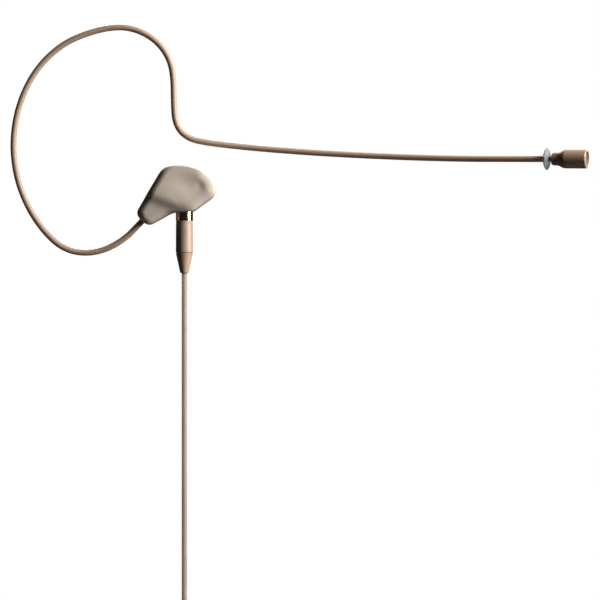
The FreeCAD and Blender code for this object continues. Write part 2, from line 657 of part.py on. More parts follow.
def build_core():
    """Two shell halves, split at the wire's plane, with posts that locate one in the other."""
    whole = slab("core_whole", core_outline(), "core_depth")
    pocket_slab(whole, "core_room", core_room_outline(), "core_room_depth")
    half = value("core_half")
    room = value("room_half")
    corner_z = value("core_low")
    width = "core_right - core_left"
    height = "core_high - core_low"
    front_box = box("front_side", width, "core_half", height,
                    Vector(value("core_left"), -half, corner_z))
    back_box = box("back_side", width, "core_half", height,
                   Vector(value("core_left"), 0, corner_z))
    front = common("front_shell", whole, front_box)
    back = common("back_shell", whole, back_box)
    wire_hole = cylinder("wire_hole", "anchor_hole_r", "anchor_end_at", WIRE_END)
    stub_hole = cylinder("stub_hole", "nut_bore_r", "stub_hole_length",
                         along(SOCKET, value("stub_top_at")))
    front = cut("front_open", front, wire_hole, stub_hole)
    back = cut("back_open", back, wire_hole, stub_hole)
    front_posts = []
    back_posts = []
    pin_holes = []
    for number, (place_x, place_z) in enumerate(CORE_POSTS):
        inside = across_y(place_x, -room, place_z)
        middle = across_y(place_x, 0, place_z)
        pin = across_y(place_x, -value("post_pin_length"), place_z)
        hole = across_y(place_x, -value("post_hole_length"), place_z)
        front_posts.append(cylinder(f"front_post_{number}", "post_r", "room_half", inside))
        pin_holes.append(cylinder(f"pin_hole_{number}", "post_hole_r", "post_hole_length", hole))
        back_posts.append(cylinder(f"back_post_{number}", "post_r", "room_half", middle))
        back_posts.append(cylinder(f"back_pin_{number}", "post_pin_r", "post_pin_length", pin))
    front = cut("front_drilled", fuse("front_with_posts", front, *front_posts), *pin_holes)
    node("core_front", front)
    node("core_back", fuse("back_with_posts", back, *back_posts))


def build_pad(corners):
    """Soft pad moulded round the core, the wire and the top of the socket."""
    pad = slab("pad_solid", corners, "pad_depth")
    round_edges(pad, "crown_corners", "pad_crown_r", is_crown_corner)
    round_edges(pad, "lower_corners", "pad_corner_r", is_lower_corner)
    round_edges(pad, "pad_rims", "pad_edge_r", is_rim_edge)
    filler = slab("core_filler", core_outline(), "core_depth")
    ferrule_way = cylinder("ferrule_way", "anchor_hole_r", "anchor_end_at", WIRE_END)
    wire_way = cylinder("wire_way", "anchor_bore_r", "wire_way_length", WIRE_END)
    stub_way = cylinder("stub_way", "nut_bore_r", "stub_hole_length",
                        along(SOCKET, value("stub_top_at")))
    node("ear_pad", cut("pad_open", pad, filler, ferrule_way, wire_way, stub_way))


# ------------------------------------------------------------------ socket in the pad

def build_socket():
    """Miniature coaxial socket: shell with a gold collar, nut, earth tag, and its contact."""
    node("socket_shell", turned("socket_shell_body", [
        ("socket_bore_r", "stub_top_at"), ("stub_r", "stub_top_at"), ("stub_r", "- collar_length"),
        ("collar_r", "- collar_length"), ("collar_r", "0"), ("screw_nose_r", "0"),
        ("screw_nose_r", "screw_nose_length"), ("socket_bore_r", "screw_nose_length"),
    ], SOCKET))
    washer = turned("tag_washer", ring_outline(
        "nut_bore_r", "tag_r", "tag_low_at - tag_thickness", "tag_low_at"), SOCKET)
    lug_corner = Vector(value("tag_lug_from_r"), -value("tag_lug_width") / 2,
                        value("tag_low_at - tag_thickness"))
    lug = box("tag_lug", "tag_lug_length", "tag_lug_width", "tag_thickness", lug_corner, SOCKET)
    node("ground_tag", fuse("ground_tag_body", washer, lug))
    nut = turned("socket_nut_body", ring_outline(
        "nut_bore_r", "nut_r", "nut_high_at", "nut_low_at"), SOCKET)
    notch_in_ring(nut, "nut_notch", "nut_r - nut_notch_depth", "nut_r + overshoot", NUT_NOTCHES)
    node("socket_nut", nut)
    node("socket_insulator", turned("socket_insulator_body", ring_outline(
        "insulator_bore_r", "insulator_r", "insulator_top_at", "insulator_end_at"), SOCKET))
    node("socket_contact", turned("socket_contact_body", [
        ("0", "contact_top_at"), ("contact_r", "contact_top_at"), ("contact_r", "contact_end_at"),
        ("contact_bore_r", "contact_end_at"), ("contact_bore_r", "contact_floor_at"),
        ("0", "contact_floor_at"),
    ], SOCKET))
    node("socket_leads", group("socket_leads_group", [
        round_tube("signal_wire", SIGNAL_ROUTE, "hookup_r"),
        round_tube("shield_wire", SHIELD_ROUTE, "hookup_r"),
    ]))


# ------------------------------------------------------------------ cable plug

def build_plug():
    """Plug that the sleeve draws onto the socket, crimped on the cable under a cone boot."""
    node("plug_pin", turned("plug_pin_body", disc_outline(
        "pin_r", "pin_tip_at", "pin_end_at"), SOCKET))
    node("plug_insulator", turned("plug_insulator_body", ring_outline(
        "plug_insulator_bore_r", "plug_insulator_r", "plug_insulator_at", "plug_insulator_end_at"),
        SOCKET))
    node("plug_seal", turned("plug_seal_body", ring_outline(
        "seal_bore_r", "seal_r", "seal_at", "seal_end_at"), SOCKET))
    node("plug_body", turned("plug_body_body", [
        ("plug_bore_r", "plug_at"), ("plug_flange_r", "plug_at"),
        ("plug_flange_r", "plug_flange_end_at"), ("plug_tail_r", "plug_flange_end_at"),
        ("plug_tail_r", "plug_end_at"), ("plug_bore_r", "plug_end_at"),
    ], SOCKET))
    node("crimp_ferrule", turned("crimp_ferrule_body", ring_outline(
        "crimp_bore_r", "crimp_r", "crimp_at", "crimp_end_at"), SOCKET))
    node("coupling_sleeve", turned("coupling_sleeve_body", [
        ("sleeve_thread_r", "sleeve_at"), ("sleeve_top_r", "sleeve_at"),
        ("sleeve_low_r", "sleeve_end_at"), ("sleeve_rear_r", "sleeve_end_at"),
        ("sleeve_rear_r", "sleeve_rear_at"), ("sleeve_neck_r", "sleeve_rear_at"),
        ("sleeve_neck_r", "sleeve_step_at"), ("sleeve_thread_r", "sleeve_step_at"),
    ], SOCKET))
    node("cable_boot", turned("cable_boot_body", [
        ("cone_socket_r", "cone_at"), ("cone_top_r", "cone_at"), ("cone_low_r", "cone_end_at"),
        ("cone_bore_r", "cone_end_at"), ("cone_bore_r", "cone_socket_end_at"),
        ("cone_socket_r", "cone_socket_end_at"),
    ], SOCKET))


# ------------------------------------------------------------------ cable

def build_cable():
    """Cable as it hangs: a straight drop, a tied coil and a short tail."""
    node("cable_drop", round_tube("cable_drop_sweep", DROP_ROUTE, "cable_r"))
    node("cable_tail", round_tube("cable_tail_sweep", TAIL_ROUTE, "cable_r"))
    node("cable_coil", turned("cable_coil_body", ring_outline(
        "coil_r - coil_radial_half", "coil_r + coil_radial_half",
        "- coil_side_half", "coil_side_half"), COIL))
    low_x = value("coil_x + coil_r - coil_radial_half - tie_inner_gap")
    low_y = value("coil_y - coil_side_half - tie_gap")
    low_z = value("coil_z") - value("tie_length") / 2
    wall = value("tie_wall")
    room = box("tie_room", "tie_room_across", "tie_room_deep", "tie_length",
               Vector(low_x, low_y, low_z))
    band = box("tie_band", "tie_room_across + tie_wall + tie_wall",
               "tie_room_deep + tie_wall + tie_wall", "tie_length",
               Vector(low_x - wall, low_y - wall, low_z))
    node("coil_tie", cut("tie", band, room))


# ------------------------------------------------------------------ far connector

def ring_points(radius, height):
    """One point for each contact, spaced evenly on a circle about Z."""
    points = []
    for number in range(FAR_CONTACTS):
        angle = math.radians(FIRST_CONTACT_ANGLE + 360 * number / FAR_CONTACTS)
        points.append(Vector(radius * math.cos(angle), radius * math.sin(angle), height))
    return points


def build_connector():
    """Cable connector: shell, insulating insert, three contacts, latch, clamp and backshell."""
    shell = turned("far_shell_body", [
        ("far_bore_r", "0"), ("far_nose_r", "0"), ("far_nose_r", "far_step_at"),
        ("far_body_r", "far_step_at"), ("far_body_r", "far_body_end_at"),
        ("far_spigot_r", "far_body_end_at"), ("far_spigot_r", "far_spigot_end_at"),
        ("far_bore_r", "far_spigot_end_at"),
    ], FAR)
    slot_corner = Vector(-value("slot_width") / 2, -value("far_body_r + overshoot"),
                         value("slot_at"))
    slot = box("latch_slot", "slot_width", "far_body_r + overshoot - slot_depth", "slot_length",
               slot_corner, FAR)
    node("connector_shell", cut("far_shell", shell, slot))

    insert = turned("far_insert_body", disc_outline("insert_r", "insert_at", "insert_end_at"), FAR)
    flat_corner = Vector(-value("slot_width") / 2, -value("insert_r + overshoot"),
                         value("slot_at"))
    flat = box("insert_flat", "slot_width", "insert_r + overshoot - insert_flat", "slot_length",
               flat_corner, FAR)
    holes = []
    contacts = []
    leads = []
    straight = Vector(0, 0, value("far_lead_straight"))
    feet = ring_points(value("far_contact_ring_r"), 0)
    starts = ring_points(value("far_contact_ring_r"), value("far_lead_from_at"))
    ends = ring_points(value("far_lead_ring_r"), value("far_lead_to_at"))
    for number, (place, start, end) in enumerate(zip(feet, starts, ends)):
        spot = point_in(FAR, place)
        holes.append(cylinder(f"contact_hole_{number}", "insert_hole_r",
                              "insert_end_at + overshoot", spot))
        pin = cylinder(f"contact_rod_{number}", "far_contact_r", "far_contact_length",
                       along(spot, value("far_contact_at")))
        bore = cylinder(f"contact_bore_{number}", "far_contact_bore_r", "far_contact_bore_length",
                        along(spot, value("far_contact_at")))
        contacts.append(cut(f"contact_{number}", pin, bore))
        way = (start, start + straight, end - straight, end)
        route = [FAR.multVec(point) for point in way]
        leads.append(round_tube(f"far_lead_{number}", route, "far_lead_r"))
    node("connector_insert", cut("far_insert", insert, flat, *holes))
    node("connector_contacts", group("far_contacts_group", contacts))
    node("connector_leads", group("far_leads_group", leads))

    clamp = turned("cable_clamp_body", ring_outline(
        "relief_bore_r", "clamp_r", "clamp_at", "clamp_end_at"), FAR)
    notch_in_ring(clamp, "clamp_slot", "clamp_slot_floor_r", "clamp_r + overshoot", CLAMP_SLOTS)
    node("cable_clamp", clamp)
    node("connector_backshell", turned("far_back_body", [
        ("back_thread_r", "back_at"), ("far_body_r", "back_at"), ("far_body_r", "back_taper_at"),
        ("back_end_r", "back_end_at"), ("back_throat_r", "back_end_at"),
        ("back_throat_r", "back_room_end_at"), ("back_room_r", "back_room_end_at"),
        ("back_room_r", "back_taper_at"), ("back_thread_r", "back_taper_at"),
    ], FAR))
    node("connector_boot", turned("far_relief_body", [
        ("relief_bore_r", "relief_at"), ("relief_plug_r", "relief_at"),
        ("relief_plug_r", "relief_skirt_at"), ("relief_r", "relief_skirt_at"),
        ("relief_r", "relief_taper_at"), ("relief_end_r", "relief_end_at"),
        ("relief_bore_r", "relief_end_at"),
    ], FAR))


def build_latch(bar_corners, spring_corners):
    """Thumb latch in the connector's slot, and the leaf spring under its button."""
    node("latch_button", slab("latch_body", bar_corners, "latch_width", "YZ_Plane", FAR))
    node("latch_spring", slab("latch_spring_body", spring_corners, "latch_spring_width",
                              "YZ_Plane", FAR))


# ------------------------------------------------------------------ check and export

def check_and_export():
    """Stop on any failed object or bad shape, then write one file for each node."""
    doc.recompute()
    for item in doc.Objects:
        if "Invalid" in item.State or "Error" in item.State:
            raise ValueError(f"{item.Name} failed: {item.State}")
    os.makedirs("parts", exist_ok=True)
    for label, piece in nodes.items():
        shape = piece.Shape
        if shape.isNull() or not shape.isValid():
            raise ValueError(f"{label}: the shape is null or not valid")
        if not shape.Solids:
            raise ValueError(f"{label}: there is no solid")
        print(f"{label}: {len(shape.Solids)} solid, {shape.Volume:.3f} mm3")
        shape.exportStep(f"parts/{label}.step")
    print(f"{len(nodes)} nodes")


def add_derived_sizes():
    """Sizes that follow from the driving ones."""
    SIZES["core_half"] = SIZES["core_depth"] / 2
    SIZES["room_half"] = SIZES["core_room_depth"] / 2
    # the cut-off wall keeps its thickness when both of its ends shift by less than the wall
    SIZES["core_room_cut"] = round(SIZES["core_cut"] - SIZES["core_wall"] * (2 - math.sqrt(2)), 3)
    SIZES["stub_hole_length"] = -SIZES["stub_top_at"] - SIZES["collar_length"]
    SIZES["nut_notch_half"] = SIZES["nut_notch_width"] / 2
    SIZES["clamp_slot_half"] = SIZES["clamp_slot_width"] / 2
    SIZES["tie_room_across"] = (2 * SIZES["coil_radial_half"] + SIZES["tie_gap"]
                                + SIZES["tie_inner_gap"])
    SIZES["tie_room_deep"] = 2 * SIZES["coil_side_half"] + 2 * SIZES["tie_gap"]


add_derived_sizes()
pad_corners = name_outline("pad_corner", PAD_OUTLINE)
latch_corners = name_outline("latch_corner", LATCH_OUTLINE)
spring_corners = name_outline("latch_spring_corner", LATCH_SPRING_OUTLINE)
fill_sheet()
build_boom()
build_capsule_shell()
build_element()
build_core()
build_pad(pad_corners)
build_socket()
build_plug()
build_cable()
build_connector()
build_latch(latch_corners, spring_corners)
check_and_export()
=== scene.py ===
import json
import math

import bmesh
import bpy
import numpy as np
from mathutils import Matrix, Vector


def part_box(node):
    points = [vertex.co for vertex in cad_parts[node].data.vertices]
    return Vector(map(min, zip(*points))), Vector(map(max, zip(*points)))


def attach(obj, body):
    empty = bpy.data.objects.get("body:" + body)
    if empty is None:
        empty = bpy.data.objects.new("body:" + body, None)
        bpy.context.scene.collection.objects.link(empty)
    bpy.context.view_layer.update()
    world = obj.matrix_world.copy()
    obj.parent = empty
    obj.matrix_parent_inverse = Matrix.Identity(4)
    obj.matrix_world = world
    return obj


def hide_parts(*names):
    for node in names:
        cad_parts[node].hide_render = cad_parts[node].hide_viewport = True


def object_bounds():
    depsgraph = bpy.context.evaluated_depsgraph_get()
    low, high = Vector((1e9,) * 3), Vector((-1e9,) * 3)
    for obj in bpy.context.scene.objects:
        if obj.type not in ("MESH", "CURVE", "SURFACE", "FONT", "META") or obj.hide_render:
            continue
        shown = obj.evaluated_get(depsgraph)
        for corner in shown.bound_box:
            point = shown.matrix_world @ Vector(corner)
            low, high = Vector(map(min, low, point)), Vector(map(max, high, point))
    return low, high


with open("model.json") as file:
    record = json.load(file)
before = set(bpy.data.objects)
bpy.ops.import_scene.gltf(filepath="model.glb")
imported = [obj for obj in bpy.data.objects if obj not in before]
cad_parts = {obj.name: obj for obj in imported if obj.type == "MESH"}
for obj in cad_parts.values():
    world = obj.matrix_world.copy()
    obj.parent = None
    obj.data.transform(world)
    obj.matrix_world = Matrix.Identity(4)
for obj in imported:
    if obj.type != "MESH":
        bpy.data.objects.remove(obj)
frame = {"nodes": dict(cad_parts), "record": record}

# Headset microphone. Lengths in this file are in millimetres unless a name says otherwise,
# and MM turns them into the metres that the scene is built in.
MM = 0.001
CAD_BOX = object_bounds()

# Route of the bent wire, the same points as the frame's. Two points are added on its straight
# ends, the second from each end: one near the pad and one behind the capsule.
WIRE_ROUTE = [
    (11.8, 0, -44.3), (4.9, 0, -51.52), (1.1, 0, -55.5), (-4.4, 0, -58.6), (-10.4, 0, -59.5),
    (-15.9, 0, -57.9), (-20.7, 0, -53.4), (-25.0, 0, -46.9), (-28.0, 0, -38.9), (-29.0, 0, -29.4),
    (-27.3, 0, -19.4), (-22.8, 0, -10.3), (-16.0, 0, -3.7), (-8.3, 0, -0.3), (-0.7, 0, 1.2),
    (4.9, 0, 0.1), (9.6, 0, -2.8), (12.6, 0, -6.8), (13.95, 0, -11.5), (14.1, 0, -20.1),
    (14.35, 0, -23.7), (15.5, 0, -26.5), (17.7, 0, -28.5), (21.0, 0, -29.6), (28.4, -0.2, -30.6),
    (39.0, -1.0, -31.7), (54.7, -3.2, -33.0), (73.8, -7.6, -34.2), (90.2, -13.1, -35.0),
    (99.5, -16.73, -35.25), (112.5, -21.8, -35.6),
]
WIRE_R = 0.8
TUBE_R = 0.52
LEAD_R = 0.33
# The jacket stops short of the capsule by the neck, where the bare tube shows.
NECK = 1.2
# How far the tube and the lead run on past the added points, into the pad and the capsule.
TUBE_ENDS = (10.5, 16.5)
LEAD_ENDS = (11.3, 17.1)

# Route of the cable, the same points as the frame's. One point is added above the bend,
# because the cable hangs straight down to it. The frame's last point of the drop and first
# point of the tail lie on the coil, whose own points stand in for them.
DROP_ROUTE = [
    (16.9, 0, -55.9), (16.9, 0, -151.2), (16.9, 0, -155.2), (18.9, 0, -158.7), (22.4, 0, -160.7),
]
TAIL_ROUTE = [
    (24.0, -0.4, -184.4), (20.6, -1.5, -185.0), (18.1, -1.7, -187.2), (16.9, -1.5, -190.4),
    (16.9, -1.2, -194.4), (16.9, -1.2, -220.5),
]
CABLE_R = 0.73


# ------------------------------------------------------------------ frames

def corner_of(node, which):
    """Lowest (0) or highest (1) corner of a CAD node, in millimetres."""
    return Vector(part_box(node)[which]) / MM


def middle_of(node):
    """Centre of a CAD node's box, in millimetres."""
    return (corner_of(node, 0) + corner_of(node, 1)) / 2


def frame_along(origin, forward, upward=(0, 1, 0)):
    """Matrix in millimetres whose Z runs forward and whose Y leans towards upward."""
    ahead = Vector(forward).normalized()
    across = Vector(upward).cross(ahead).normalized()
    up = ahead.cross(across)
    matrix = Matrix((across, up, ahead)).transposed().to_4x4()
    matrix.translation = Vector(origin)
    return matrix


def point_along(start, end, distance):
    """Point at a distance from start on the way to end."""
    start = Vector(start)
    return start + (Vector(end) - start).normalized() * distance


SOCKET_AXIS = middle_of("coupling_sleeve")
COLLAR_LOW = corner_of("coupling_sleeve", 1).z + 0.05
SOCKET = frame_along((SOCKET_AXIS.x, SOCKET_AXIS.y, COLLAR_LOW), (0, 0, -1))
CAPSULE = frame_along(WIRE_ROUTE[-1], Vector(WIRE_ROUTE[-1]) - Vector(WIRE_ROUTE[-3]), (0, 0, 1))
FAR_AXIS = middle_of("connector_backshell")
FAR = Matrix.Translation((FAR_AXIS.x, FAR_AXIS.y, corner_of("connector_shell", 0).z))
COIL_MIDDLE = middle_of("cable_coil")


# ------------------------------------------------------------------ meshes

def add_mesh(name, vertices, faces, smooth_angle=40):
    """Mesh object from points in millimetres, shaded smooth up to an angle in degrees."""
    mesh = bpy.data.meshes.new(name)
    mesh.from_pydata([Vector(v) * MM for v in vertices], [], faces)
    piece = bpy.data.objects.new(name, mesh)
    bpy.context.scene.collection.objects.link(piece)
    tidy_mesh(piece, smooth_angle)
    return piece


def tidy_mesh(piece, smooth_angle=40):
    """Merge doubled points, turn faces outward and set smooth shading."""
    work = bmesh.new()
    work.from_mesh(piece.data)
    bmesh.ops.remove_doubles(work, verts=work.verts, dist=1e-7)
    bmesh.ops.dissolve_degenerate(work, edges=work.edges, dist=1e-8)
    bmesh.ops.recalc_face_normals(work, faces=work.faces)
    work.to_mesh(piece.data)
    work.free()
    piece.data.shade_smooth()
    piece.data.set_sharp_from_angle(angle=math.radians(smooth_angle))


def split_wide_faces(piece):
    """Cut every face with more than four corners into triangles."""
    work = bmesh.new()
    work.from_mesh(piece.data)
    bmesh.ops.triangulate(work, faces=[face for face in work.faces if len(face.verts) > 4])
    work.to_mesh(piece.data)
    work.free()


def settle(piece):
    """Apply a piece's modifiers to its mesh."""
    bpy.context.view_layer.update()
    evaluated = piece.evaluated_get(bpy.context.evaluated_depsgraph_get())
    piece.data = bpy.data.meshes.new_from_object(evaluated)
    piece.modifiers.clear()
    tidy_mesh(piece)
    return piece


def rounded(corners, radius=0.08, steps=4):
    """Closed outline with its corners rounded, and held by a point on each side.

    A corner is (x, y), or (x, y, radius) with a radius of its own. A radius of 0, and a corner
    on the axis x = 0, stays sharp.
    """
    on_axis = 1e-6
    most_of_side = 0.42
    hold = 0.15
    outline = []
    count = len(corners)
    for number, corner in enumerate(corners):
        here = Vector(corner[:2])
        back = Vector(corners[number - 1][:2]) - here
        ahead = Vector(corners[(number + 1) % count][:2]) - here
        wanted = corner[2] if len(corner) > 2 else radius
        if here.x < on_axis or wanted == 0:
            outline.append(here)
            continue
        turn = math.pi - back.angle(ahead)
        reach = min(wanted * math.tan(turn / 2), most_of_side * min(back.length, ahead.length))
        start = here + back.normalized() * reach
        end = here + ahead.normalized() * reach
        outline.append(start + back.normalized() * reach * hold)
        for step in range(steps + 1):
            t = step / steps
            outline.append(start * (1 - t) ** 2 + here * 2 * t * (1 - t) + end * t ** 2)
        outline.append(end + ahead.normalized() * reach * hold)
    return outline


def turned(name, outline, place, segments=96):
    """Piece turned about its frame's Z from a closed outline of (radius, station) points."""
    vertices = []
    for number in range(segments):
        angle = 2 * math.pi * number / segments
        cos, sin = math.cos(angle), math.sin(angle)
        vertices += [place @ Vector((r * cos, r * sin, z)) for r, z in outline]
    count = len(outline)
    faces = []
    for number in range(segments):
        here = number * count
        there = (number + 1) % segments * count
        for i in range(count):
            j = (i + 1) % count
            faces.append((here + i, here + j, there + j, there + i))
    return add_mesh(name, vertices, faces)


def slab_of(name, outline, width, place):
    """Flat slab from a closed outline of (Y, Z) points, its width centred on X = 0."""
    count = len(outline)
    vertices = [place @ Vector((side * width / 2, y, z)) for side in (-1, 1) for y, z in outline]
    faces = [tuple(range(count)), tuple(range(2 * count - 1, count - 1, -1))]
    for i in range(count):
        j = (i + 1) % count
        faces.append((i, i + count, j + count, j))
    return add_mesh(name, vertices, faces)


def bevelled(piece, width):
    """Round a piece's sharp edges."""
    modifier = piece.modifiers.new("round", "BEVEL")
    modifier.width = width * MM
    modifier.segments = 3
    modifier.limit_method = "ANGLE"
    return settle(piece)


def carved(piece, *tools):
    """Take the tools out of a piece, and delete them."""
    for tool in tools:
        modifier = piece.modifiers.new("carve", "BOOLEAN")
        modifier.operation = "DIFFERENCE"
        modifier.solver = "EXACT"
        modifier.object = tool
    settle(piece)
    for tool in tools:
        bpy.data.objects.remove(tool)
    return piece


def joined(name, pieces):
    """Several meshes as one piece."""
    work = bmesh.new()
    for piece in pieces:
        work.from_mesh(piece.data)
        bpy.data.objects.remove(piece)
    mesh = bpy.data.meshes.new(name)
    work.to_mesh(mesh)
    work.free()
    whole = bpy.data.objects.new(name, mesh)
    bpy.context.scene.collection.objects.link(whole)
    tidy_mesh(whole)
    return whole


def curve_along(name, route, radius, resolution=12):
    """Round rod on a smooth spline that has the route's points as its control points."""
    curve = bpy.data.curves.new(name, "CURVE")
    curve.dimensions = "3D"
    curve.bevel_depth = radius * MM
    curve.bevel_resolution = 8
    curve.use_fill_caps = True
    spline = curve.splines.new("NURBS")
    spline.points.add(len(route) - 1)
    for point, place in zip(spline.points, route):
        point.co = (*(Vector(place) * MM), 1)
    spline.order_u = 3
    spline.use_endpoint_u = True
    spline.resolution_u = resolution
    rod = bpy.data.objects.new(name, curve)
    bpy.context.scene.collection.objects.link(rod)
    return rod


def rod_through(centres, radius, sides):
    """Vertices and faces of a thin rod through points in millimetres, closed at its ends."""
    aslant = (0.13, 0.31, 0.94)     # parallel to none of the rods
    vertices = []
    faces = []
    for number, centre in enumerate(centres):
        before = centres[max(number - 1, 0)]
        after = centres[min(number + 1, len(centres) - 1)]
        ring = frame_along(centre, after - before, aslant)
        for side in range(sides):
            angle = 2 * math.pi * side / sides
            vertices.append(ring @ Vector((radius * math.cos(angle), radius * math.sin(angle), 0)))
    for number in range(len(centres) - 1):
        for side in range(sides):
            i = number * sides + side
            j = number * sides + (side + 1) % sides
            faces.append((i, j, j + sides, i + sides))
    last = (len(centres) - 1) * sides
    faces.append(tuple(range(sides - 1, -1, -1)))
    faces.append(tuple(range(last, last + sides)))
    return vertices, faces


def finished(piece, body, material, slot, *nodes):
    """Put a piece on its body, give it its material, and let it stand for CAD nodes."""
    piece.data.materials.clear()
    piece.data.materials.append(material)
    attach(piece, body)
    if nodes:
        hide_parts(*nodes)
    return piece


# ------------------------------------------------------------------ materials

# The part of the noise's 0..1 that is spread from the lower colour or gloss to the upper one.
NOISE_RANGE = (0.3, 0.7)


def add_noise(material, scale, detail):
    """Noise over the surface in object space; scale is in cells per metre."""
    nodes = material.node_tree.nodes
    place = nodes.new("ShaderNodeTexCoord")
    texture = nodes.new("ShaderNodeTexNoise")
    texture.inputs["Scale"].default_value = scale
    texture.inputs["Detail"].default_value = detail
    material.node_tree.links.new(place.outputs["Object"], texture.inputs["Vector"])
    return texture.outputs["Fac"]


def spread_value(material, value, low, high, socket):
    """Send a 0..1 value to a shader socket, remapped to low..high."""
    remap = material.node_tree.nodes.new("ShaderNodeMapRange")
    remap.inputs["From Min"].default_value = NOISE_RANGE[0]
    remap.inputs["From Max"].default_value = NOISE_RANGE[1]
    remap.inputs["To Min"].default_value = low
    remap.inputs["To Max"].default_value = high
    material.node_tree.links.new(value, remap.inputs["Value"])
    material.node_tree.links.new(remap.outputs["Result"], socket)


def spread_colour(material, value, low, high, socket):
    """Send a colour between two tones to a shader socket."""
    ramp = material.node_tree.nodes.new("ShaderNodeValToRGB")
    for element, position, tone in zip(ramp.color_ramp.elements, NOISE_RANGE, (low, high)):
        element.position = position
        element.color = (*tone, 1)
    material.node_tree.links.new(value, ramp.inputs["Fac"])
    material.node_tree.links.new(ramp.outputs["Color"], socket)


def add_bump(material, main, value, depth_mm):
    """Raise the surface by a value, at half strength of a depth in millimetres."""
    bump = material.node_tree.nodes.new("ShaderNodeBump")
    bump.inputs["Strength"].default_value = 0.5
    bump.inputs["Distance"].default_value = depth_mm * MM
    material.node_tree.links.new(value, bump.inputs["Height"])
    material.node_tree.links.new(bump.outputs["Normal"], main.inputs["Normal"])


def surface(name, colour, roughness, metallic=0.0, shade=0.12, patch=250, grain=9000,
            depth_mm=0.004, **sockets):
    """Material with uneven colour and gloss in patches, and a fine grain in relief.

    shade is how far the colour strays, patch and grain are cells per metre, and depth_mm is
    the grain's depth. Other names are the shader's own sockets, with _ for a space.
    """
    uneven_gloss = 0.12
    material = bpy.data.materials.new(name)
    material.use_nodes = True
    main = material.node_tree.nodes["Principled BSDF"]
    main.inputs["Metallic"].default_value = metallic
    for socket, value in sockets.items():
        main.inputs[socket.replace("_", " ")].default_value = value
    patches = add_noise(material, patch, detail=4.0)
    dark = tuple(c * (1 - shade) for c in colour)
    light = tuple(min(1, c * (1 + shade)) for c in colour)
    spread_colour(material, patches, dark, light, main.inputs["Base Color"])
    spread_value(material, patches, roughness * (1 - uneven_gloss),
                 roughness * (1 + uneven_gloss), main.inputs["Roughness"])
    add_bump(material, main, add_noise(material, grain, detail=2.0), depth_mm)
    return material


# How far red, green and blue light scatter in a soft skin, as shares of its Subsurface Scale.
SOFT = (1.0, 0.95, 0.9)

# Each material's colour and roughness, and what else surface() takes for it. The names are the
# record's material slots, and two more: the lighter copy of the capsule paint that paints a
# highlight on the cap's lip, and floor_paper.
LOOKS = {
    "wire_skin": dict(colour=(0.42, 0.30, 0.215), roughness=0.5, shade=0.04, patch=120,
                      grain=14000, depth_mm=0.0002, Subsurface_Weight=0.4,
                      Subsurface_Radius=SOFT, Subsurface_Scale=3.0 * MM),
    "cable_skin": dict(colour=(0.32, 0.247, 0.2), roughness=0.5, shade=0.04, patch=160,
                       depth_mm=0.0005, Subsurface_Weight=0.75,
                       Subsurface_Radius=SOFT, Subsurface_Scale=7.0 * MM),
    "pad_silicone": dict(colour=(0.62, 0.52, 0.43), roughness=0.6, shade=0.03, patch=90,
                         grain=11000, depth_mm=0.001, Subsurface_Weight=0.1,
                         Subsurface_Radius=SOFT, Subsurface_Scale=0.5 * MM),
    "sleeve_paint": dict(colour=(0.44, 0.315, 0.24), roughness=0.52, metallic=0.2, shade=0.03,
                         patch=400, grain=20000, depth_mm=0.0002),
    "cone_rubber": dict(colour=(0.52, 0.35, 0.25), roughness=0.5, metallic=0.15, shade=0.05,
                        patch=300, grain=12000, depth_mm=0.002),
    "capsule_paint": dict(colour=(0.39, 0.245, 0.155), roughness=0.5, shade=0.05, patch=500,
                          grain=22000, depth_mm=0.0008),
    "boot_rubber": dict(colour=(0.27, 0.16, 0.10), roughness=0.55, shade=0.3, patch=900,
                        grain=6000, depth_mm=0.03),
    # The cap's lip: a lighter, glossier copy of capsule_paint, its lighter colour a painted
    # highlight along the lip's edge.
    "lip_paint_painted_highlight": dict(colour=(0.46, 0.28, 0.17), roughness=0.4, metallic=0.2, shade=0.03,
                      patch=500, grain=20000, depth_mm=0.0002),
    "clear_silicone": dict(colour=(0.36, 0.375, 0.385), roughness=0.5, shade=0.06, patch=700,
                           depth_mm=0.001, Transmission_Weight=0.6, IOR=1.15),
    "gold": dict(colour=(0.93, 0.72, 0.42), roughness=0.16, metallic=1.0, shade=0.03,
                 patch=500, grain=20000, depth_mm=0.0001),
    "mesh_steel": dict(colour=(0.42, 0.41, 0.40), roughness=0.4, metallic=0.8, grain=20000,
                       depth_mm=0.001),
    "felt": dict(colour=(0.80, 0.79, 0.77), roughness=0.95, grain=16000, depth_mm=0.03,
                 Sheen_Weight=0.4),
    "tie_strap": dict(colour=(0.018, 0.018, 0.02), roughness=0.9, shade=0.3, patch=2500,
                      grain=7000, depth_mm=0.12, Sheen_Weight=0.35),
    "connector_nickel": dict(colour=(0.60, 0.59, 0.57), roughness=0.38, metallic=0.45,
                             shade=0.05, patch=300, depth_mm=0.001),
    "black_rubber": dict(colour=(0.02, 0.02, 0.021), roughness=0.55, depth_mm=0.01),
    "black_insulator": dict(colour=(0.018, 0.018, 0.02), roughness=0.42),
    "capillary_steel": dict(colour=(0.13, 0.105, 0.09), roughness=0.4, metallic=0.8),
    "ferrule_metal": dict(colour=(0.62, 0.56, 0.42), roughness=0.28, metallic=1.0),
    "can_metal": dict(colour=(0.75, 0.75, 0.75), roughness=0.3, metallic=1.0),
    "film": dict(colour=(0.8, 0.66, 0.3), roughness=0.2, metallic=0.6),
    "lead_insulation": dict(colour=(0.6, 0.56, 0.48), roughness=0.5),
    "seal_rubber": dict(colour=(0.02, 0.02, 0.02), roughness=0.55),
    "white_insulator": dict(colour=(0.86, 0.85, 0.8), roughness=0.45),
    "board": dict(colour=(0.02, 0.12, 0.05), roughness=0.4),
    "chip": dict(colour=(0.02, 0.02, 0.02), roughness=0.5),
    "core_plastic": dict(colour=(0.1, 0.08, 0.06), roughness=0.45),
    "floor_paper": dict(colour=(0.9, 0.9, 0.9), roughness=0.9, shade=0.01),
}


